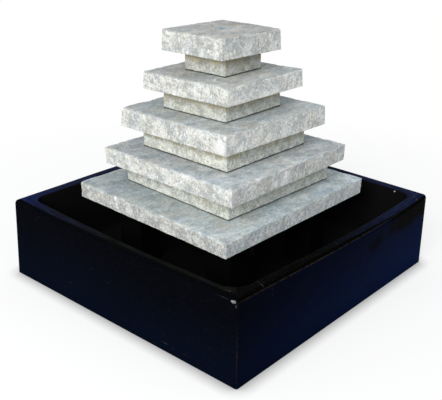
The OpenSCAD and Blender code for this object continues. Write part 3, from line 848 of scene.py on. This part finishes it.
def makeSpacerMaterial():
    tones, pattern = spacerTones, spacerPattern
    material, tree, shader = newMaterial("spacerStone", {"Roughness": 0.88, "Specular IOR Level": 0.2})
    coords = objectCoords(tree)
    body = placeMineral(coords, tones, "body", pattern["body"])
    color = scaleColor(body["Color"], markAt(tree, "tone"))
    level = markAt(tree, "level")
    ripple = centred(noiseAt(coords, *pattern["ripple"]))
    stain = remap(addShare(level, ripple, pattern["stainRagged"]), *pattern["stain"])
    # the foot's dark line: partly a joint, partly painted contact shade
    joint = remap(addShare(level, ripple, pattern["jointRagged"]), *pattern["joint"])
    leftSide = calculate("SUBTRACT", 1.0, markAt(tree, "right"))
    # painted light: paler ochre on the left faces of the upper spacers
    litUpperLeft = product(remap(axesOf(coords)[2], *pattern["upper"]), leftSide)
    ochre = blendColor(litUpperLeft, tones["ochre"], tones["ochreLit"])
    color = layered(color, (product(stain, pattern["stainShare"]), ochre),
                    (product(joint, pattern["jointShare"]), tones["joint"]))
    connect(color, shader["Base Color"])
    addBump(shader, body["Height"], *pattern["bump"])
    return material


slabMaterial = makeSlabMaterial()
spacerMaterial = makeSpacerMaterial()
for item in slabItems:
    item.data.materials.append(slabMaterial)
for item in spacerItems:
    item.data.materials.append(spacerMaterial)


# terrazzo of basin and pillars

terrazzoTones = {
    "dark": (0.002, 0.0023, 0.0038),
    # teal and navy: painted reflections on the near-black sides
    "tealReflection": (0.0018, 0.0035, 0.0094),
    "navyReflection": (0.0026, 0.0088, 0.042),
    # the next two: painted shade on the rim's outer roll
    "stripShade": (0.0012, 0.0012, 0.001),
    "stripLeft": (0.0018, 0.002, 0.0027),
    # the next four: the rim's band, near-black by the front corner, elsewhere painted sky reflection
    "rimBlack": (0.0028, 0.003, 0.0028),
    "rimBlackLeft": (0.006, 0.0063, 0.0052),
    "rimNavy": (0.008, 0.0124, 0.0375),
    "rimNavyLeft": (0.0086, 0.0155, 0.074),
    # the next two: painted highlight on the lip where the rim turns down
    "lip": (0.015, 0.0185, 0.017),
    "lipNavy": (0.019, 0.021, 0.072),
    "chip": (0.012, 0.013, 0.016),
    "inside": (0.006, 0.006, 0.006),
    # paler on the deep floor: painted light against the shade under the slabs
    "deepLight": (0.007, 0.007, 0.0069),
    "wear": (0.03, 0.026, 0.017),
    "scratch": (0.045, 0.048, 0.045),
}
terrazzoZones = {  # places in metres between which a tone comes in, and its least and greatest share
    "rightSide": (0.0, 0.004),
    "tealReflection": (0.13, 0.02),
    "navyAlong": (-0.30, 0.28, 0.12, 1.0),
    "navyDown": (0.15, 0.04, 0.45, 1.0),
    "farAlong": (0.12, 0.18),
    "farUp": (0.105, 0.125),
    "leftEndX": (-0.20, -0.28),
    "leftEndY": (-0.20, -0.27),
    "wearFar": (0.22, 0.08, 0.15, 1.0),
    "wearNear": (-0.30, -0.19, 0.35, 1.0),
    "lipFar": (0.32, 0.24, 0.3, 1.0),
    "deepLight": (0.06, 0.03),
    # shares of the rim's width, of the arris and of the way to the inside
    "stripShade": (0.09, 0.13),
    "band": (0.27, 0.34),
    "lip": (0.86, 0.94),
    "lipInside": (0.62, 0.38),
    "arris": (0.945, 0.99),
    "inside": (0.1, 0.6),
    # a point, and the distances from it at which a tone is full and gone
    "wideStrip": ((0.30, -0.30, 0.16), 0.28, 0.50),
    "navyRim": ((0.30, -0.375, 0.16), 0.62, 0.33),
}
terrazzoPattern = {  # as in slabPattern
    "cloud": (0.16, 3),
    "cloudAlong": 0.35,
    "cloudUp": 0.1,
    "cloudRim": -0.8,
    "stripWider": 0.26,   # shares of the rim's width
    "stripRight": -0.16,
    "rimStretch": (1.0, 1.25, 1.0),
    "rimStreakStretch": (0.022, 0.14),   # across the rim and along it
    "rimStreaks": (0.0055, 3, 0.32, 0.68, 0.55, 1.45),
    "chips": (0.0032, 0, (0.86, 0.92), (0.42, 0.25), 0.45),
    "ragged": (0.010, 5, 0.40, 0.60, 0.15, 1.0, 0.75),
    "lipShare": 0.8,
    "scratchStretch": (0.14, 1.0, 1.0),
    "scratchTurn": 28,
    "scratches": (0.0045, 2, 0.66, 0.72, 0.0, 0.5),
    "scratched": (0.05, 2, 0.58, 0.66),
    "broken": (0.003, 2, 0.36, 0.58, 0.25, 1.0),
    "spotNoise": (0.0035, 3),
    "spotRagged": 1.2,
    "spotEdge": (1.6, 1.1),
    "haze": (0.06, 4, 0.3, 0.7, 0.10, 0.22, 0.6),
    "insideRough": 0.5,
}
terrazzoMarks = [  # middle and half size in metres, turn in degrees, tone, strength
    # the first three: a painted glint on the front corner's upper arris, its tail, and a faint painted
    # streak
    ((0.2915, -0.299, 0.1575), (0.006, 0.0036, 0.0032), 0, (0.42, 0.42, 0.41), 1.0),
    ((0.299, -0.303, 0.1545), (0.0036, 0.0036, 0.006), 0, (0.2, 0.2, 0.19), 0.9),
    ((0.2765, -0.299, 0.158), (0.019, 0.0012, 0.0014), 0, (0.06, 0.06, 0.056), 0.9),
    # two small painted highlights on the rim by the front corner
    ((0.2615, -0.2842, 0.16), (0.003, 0.0024, 0.003), 20, (0.036, 0.036, 0.046), 0.9),
    ((0.269, -0.2821, 0.16), (0.003, 0.0024, 0.003), -30, (0.036, 0.036, 0.046), 0.9),
    ((0.2905, -0.231, 0.16), (0.015, 0.0013, 0.003), -21, (0.032, 0.034, 0.032), 0.8),
    ((0.2857, -0.0771, 0.16), (0.016, 0.0013, 0.003), 71, (0.03, 0.032, 0.034), 0.7),
    ((0.2926, 0.2649, 0.16), (0.0026, 0.0026, 0.003), 0, (0.12, 0.085, 0.05), 0.9),
    ((0.3033, 0.2579, 0.1585), (0.0026, 0.0026, 0.003), 0, (0.12, 0.085, 0.05), 0.9),
    ((0.241, 0.274, 0.1545), (0.0022, 0.012, 0.0022), 0, (0.6, 0.6, 0.6), 1.0),
    # a painted highlight down the front corner's vertical edge
    ((0.3015, -0.3015, 0.062), (0.0024, 0.0024, 0.062), 0, (0.013, 0.011, 0.009), 0.8),
]


def distanceTo(coords, point=(0.0, 0.0, 0.0)):
    return addNode("VectorMath", {0: coords, 1: point}, operation="DISTANCE")["Value"]


def nearPoint(coords, point, full, gone):  # 1 at the distance full from a point, 0 at gone
    return remap(distanceTo(coords, point), gone, full)


def spotAt(coords, place, size, turn):  # 1 in the middle of a stretched spot, 0 at its edge
    feeds = {"Vector": coords, "Location": place, "Scale": size, "Rotation": (0.0, 0.0, math.radians(turn))}
    local = addNode("Mapping", feeds, vector_type="TEXTURE")["Vector"]
    rough = noiseAt(coords, *terrazzoPattern["spotNoise"])
    reach = addShare(distanceTo(local), rough, terrazzoPattern["spotRagged"])
    return remap(reach, *terrazzoPattern["spotEdge"])


def makeTerrazzo():
    tones, zones, pattern = terrazzoTones, terrazzoZones, terrazzoPattern
    material, tree, shader = newMaterial("polishedTerrazzo", {"IOR": 1.020})
    coords = objectCoords(tree)
    x, y, z = axesOf(coords)
    across = calculate("ADD", x, y)
    rightSide = remap(across, *zones["rightSide"])
    cloud = centred(noiseAt(coords, *pattern["cloud"]))

    # painted reflection: teal low down, navy on the right side towards its far end, but painted shade high
    # up there
    along = addShare(y, cloud, pattern["cloudAlong"])
    upward = addShare(z, cloud, pattern["cloudUp"])
    farTop = product(remap(along, *zones["farAlong"]), remap(upward, *zones["farUp"]), rightSide)
    navyReflection = product(remap(along, *zones["navyAlong"]), remap(upward, *zones["navyDown"]),
                   calculate("SUBTRACT", 1.0, farTop), rightSide)
    color = blendColor(remap(upward, *zones["tealReflection"]), tones["dark"], tones["tealReflection"])
    color = layered(color, (navyReflection, tones["navyReflection"]), (farTop, tones["stripShade"]))

    # rim: painted shade on its outer roll, then a painted sky reflection, black by the front corner, navy
    # to the sides
    rim = markAt(tree, "rim")
    start = product(nearPoint(coords, *zones["wideStrip"]), pattern["stripWider"])
    start = addShare(start, rightSide, pattern["stripRight"])
    band = remap(calculate("SUBTRACT", rim, start), *zones["band"])
    navyShare = nearPoint(spread(coords, pattern["rimStretch"]), *zones["navyRim"])
    navyShare = addShare(navyShare, cloud, pattern["cloudRim"], clamp=True)
    leftEnd = product(remap(x, *zones["leftEndX"]), remap(y, *zones["leftEndY"]))
    rimColor = blendColor(navyShare, blendColor(rightSide, tones["rimBlackLeft"], tones["rimBlack"]),
                          blendColor(leftEnd, tones["rimNavy"], tones["rimNavyLeft"]))
    acrossRim, alongRim = pattern["rimStreakStretch"]
    streaked = addNode("CombineXYZ", {"X": product(rim, acrossRim), "Y": product(across, alongRim)})[0]
    rimColor = scaleColor(rimColor, patchesAt(streaked, *pattern["rimStreaks"]))
    stripColor = blendColor(rightSide, tones["stripLeft"], tones["stripShade"])
    color = layered(color, (remap(rim, *zones["stripShade"]), stripColor), (band, rimColor))

    # stone chips, wear on the upper arris of the right side, and fine scratches
    ragged = patchesAt(coords, *pattern["ragged"])
    wear = product(remap(markAt(tree, "arris"), *zones["arris"]), ragged, rightSide,
                   remap(y, *zones["wearFar"]), remap(y, *zones["wearNear"]))
    streaked = spread(coords, pattern["scratchStretch"], pattern["scratchTurn"])
    scratches = product(patchesAt(streaked, *pattern["scratches"]),
                        patchesAt(coords, *pattern["scratched"]))
    color = layered(color, (pickCells(coords, *pattern["chips"]), tones["chip"]), (wear, tones["wear"]),
                    (scratches, tones["scratch"]))

    # inside, paler deep down as painted light, the painted highlight of the lip where the rim turns down to
    # it, and single marks
    inside = markAt(tree, "inside")
    insideColor = blendColor(remap(z, *zones["deepLight"]), tones["inside"], tones["deepLight"])
    lip = product(remap(rim, *zones["lip"]), remap(inside, *zones["lipInside"]), ragged,
                  remap(x, *zones["lipFar"]), pattern["lipShare"])
    lipColor = blendColor(navyShare, tones["lip"], tones["lipNavy"])
    broken = patchesAt(coords, *pattern["broken"])
    marks = [(product(spotAt(coords, place, size, turn), broken, strength), tone)
             for place, size, turn, tone, strength in terrazzoMarks]
    color = layered(color, (remap(inside, *zones["inside"]), insideColor), (lip, lipColor), *marks)
    connect(color, shader["Base Color"])
    haze = patchesAt(coords, *pattern["haze"])
    connect(addShare(haze, inside, pattern["insideRough"]), shader["Roughness"])
    return material


basinItem.data.materials.append(makeTerrazzo())


# pump, pipe, pillars and fittings keep their own shapes and get these finishes

finishes = {  # colour, grain per metre, its variation and depth in metres, roughness, gloss, metal, pieces
    "pillarTerrazzo": (terrazzoTones["rimBlack"], 500.0, 0.20, 0.0002, 0.60, 0.01, 0.0,
                       ("pillar_front_left", "pillar_front_right",
                        "pillar_back_left", "pillar_back_right")),
    "pipePlastic": ((0.40, 0.49, 0.53), 1200.0, 0.05, 0.0001, 0.35, 0.5, 0.0, ("riser_pipe",)),
    "outletPlastic": ((0.32, 0.41, 0.425), 1200.0, 0.08, 0.0001, 0.45, 0.5, 0.0, ("outlet_nozzle",)),
    "housingPlastic": ((0.020, 0.022, 0.025), 1600.0, 0.15, 0.0002, 0.50, 0.1, 0.0,
                       ("pump_housing", "intake_cover")),
    "headPlastic": ((0.11, 0.13, 0.15), 1600.0, 0.10, 0.0001, 0.42, 0.5, 0.0,
                    ("pump_head", "flow_dial", "dial_knob", "impeller")),
    "blackRubber": ((0.012, 0.012, 0.012), 1400.0, 0.20, 0.0002, 0.75, 0.1, 0.0,
                    ("pipe_sleeve", "cable_gland", "suction_cups", "seal_ring", "rear_bush", "front_bush")),
    "clampSteel": ((0.42, 0.43, 0.45), 2400.0, 0.08, 0.00005, 0.35, 0.5, 1.0, ("hose_clamps",)),
    "shaftCeramic": ((0.85, 0.83, 0.78), 2000.0, 0.04, 0.00005, 0.30, 0.5, 0.0, ("rotor_shaft",)),
    "magnetFerrite": ((0.035, 0.033, 0.035), 900.0, 0.15, 0.0002, 0.60, 0.5, 0.0, ("rotor_magnet",)),
}
# darker blue-grey over the outlet's bore and in a spot beside it
outletDarkSpots = {"color": (0.15, 0.20, 0.24), "beside": ((-0.0048, -0.0026, 0.506), 0.003, 0.008),
             "bore": ((0.0, 0.0, 0.499), 0.0075, 0.0085)}   # as the points in terrazzoZones
sharpFitting = 30   # degrees


def makeFinish(name, color, scale, variation, depth, roughness, gloss, metal):
    material, tree, shader = newMaterial(name, {"Metallic": metal, "Specular IOR Level": gloss})
    coords = objectCoords(tree)
    grain = addNode("Group", {"Vector": coords, "Color": color, "Scale": scale, "Variation": variation,
                              "Roughness": roughness}, node_tree=fineGrain)
    color = grain["Color"]
    if name == "outletPlastic":
        for spot in ("beside", "bore"):
            color = blendColor(nearPoint(coords, *outletDarkSpots[spot]), color, outletDarkSpots["color"])
    connect(color, shader["Base Color"])
    connect(grain["Roughness"], shader["Roughness"])
    addBump(shader, grain["Height"], depth)
    return material


for finish, (*look, pieces) in finishes.items():
    made = makeFinish(finish, *look)
    for name in pieces:
        mesh = nodes[name].data
        if not mesh.materials:
            mesh.materials.append(made)
        for index in range(len(mesh.materials)):
            mesh.materials[index] = made
        mesh.shade_smooth()
        mesh.set_sharp_from_angle(angle=math.radians(sharpFitting))
print("finishes made")


# floor and light

studio = {
    "floorHalf": 20,   # metres
    "floorColor": (0.80, 0.80, 0.80),
    "seenColor": (0.30, 0.30, 0.30),   # how strongly the camera sees light and shadow on the floor
    "floorGlow": 0.71,
    "glowReach": (0.42, 1.2),   # from here out the floor turns plain white
    "contactReach": 0.03,
    "contactSamples": 8,
    "contactShade": (0.5, 1.0, 0.50, 1.0),
    "worldStrength": 0.60,
    "worldColor": (0.965, 1.0, 1.05),
    "keyPlace": (0.98, -2.78, 1.82),
    "keyAim": (0.0, 0.0, 0.25),
    "keySize": 1.8,
    "keyPower": 82.0,
    "keyColor": (1.0, 0.99, 0.965),
}


def directRays(tree):  # 1 for rays that show the surroundings: to the camera, in gloss and through glass
    path = addNode("LightPath", {}, tree)
    seen = calculate("MAXIMUM", path["Is Camera Ray"], path["Is Glossy Ray"])
    return calculate("MAXIMUM", seen, path["Is Transmission Ray"])


def addStage():
    reach = studio["floorHalf"]
    mesh = bpy.data.meshes.new("floor")
    mesh.from_pydata([(-reach, -reach, 0), (reach, -reach, 0), (reach, reach, 0), (-reach, reach, 0)],
                     [], [(0, 1, 2, 3)])
    floor = addObject("floor", mesh)
    material, tree, shader = newMaterial("paleFloor", {})
    tree.nodes.remove(tree.nodes["Principled BSDF"])
    far = remap(distanceTo(objectCoords(tree)), *studio["glowReach"])
    openness = addNode("AmbientOcclusion", {"Distance": studio["contactReach"]}, tree,
                       samples=studio["contactSamples"])
    contact = remap(openness["AO"], *studio["contactShade"])
    seen = directRays(tree)
    nearColor = blendColor(seen, studio["floorColor"], studio["seenColor"])
    nearColor = blendColor(contact, (0, 0, 0), nearColor)
    diffuse = addNode("BsdfDiffuse", {"Color": blendColor(far, nearColor, (0, 0, 0))})[0]
    strength = addShare(product(contact, studio["floorGlow"]), far, 1 - studio["floorGlow"])
    glow = addNode("Emission", {"Color": (1, 1, 1), "Strength": product(seen, strength)})[0]
    both = addNode("AddShader", {0: diffuse, 1: glow})[0]
    connect(both, tree.nodes["Material Output"].inputs["Surface"])
    mesh.materials.append(material)


def addWorld():
    world = bpy.data.worlds.new("studio")
    bpy.context.scene.world = world
    world.use_nodes = True
    tree = world.node_tree
    back = tree.nodes["Background"].inputs
    seen = directRays(tree)
    connect(blendColor(seen, studio["worldColor"], (1, 1, 1)), back["Color"])
    strength = addShare(studio["worldStrength"], seen, 1 - studio["worldStrength"])
    connect(strength, back["Strength"])


def addLamp():
    data = bpy.data.lights.new("key", "AREA")
    data.shape = "DISK"
    data.size = studio["keySize"]
    data.energy = studio["keyPower"]
    data.color = studio["keyColor"]
    lamp = addObject("key", data)
    lamp.location = studio["keyPlace"]
    aim = Vector(studio["keyAim"]) - Vector(studio["keyPlace"])
    lamp.rotation_euler = aim.to_track_quat("-Z", "Y").to_euler()


addStage()
addWorld()
addLamp()
bpy.context.scene.view_settings.view_transform = "Standard"
print("stage and light ready")
